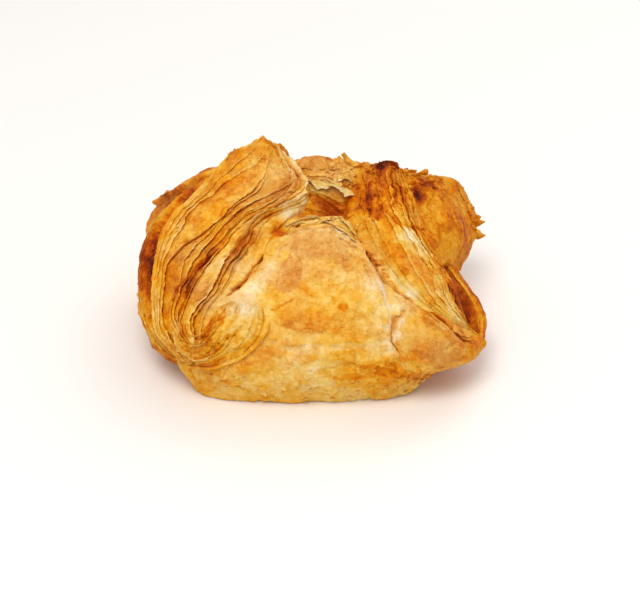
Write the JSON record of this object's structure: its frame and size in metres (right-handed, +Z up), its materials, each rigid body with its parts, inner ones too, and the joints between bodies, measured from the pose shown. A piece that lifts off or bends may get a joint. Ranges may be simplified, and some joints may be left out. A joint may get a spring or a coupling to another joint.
{
  "type": "turnover pastry",
  "caption": "Golden puff pastry turnover, its dough corners folded to the middle so that layered flaps meet at a raised peak beside a small open hollow, on a flat sole",
  "frame": {"origin": "on the plane of the sole, under the middle of the pastry's outline in plan", "axes": "+Z up out of the top, +X to the right of the front flap, +Y from the front flap to the back flap"},
  "size_m": [0.111, 0.0912, 0.0602],
  "materials": {
    "crust": "baked, flaky, slightly glossy where browned"
  },
  "bodies": {
    "root": {"pastry": "crust"}
  },
  "joints": []
}
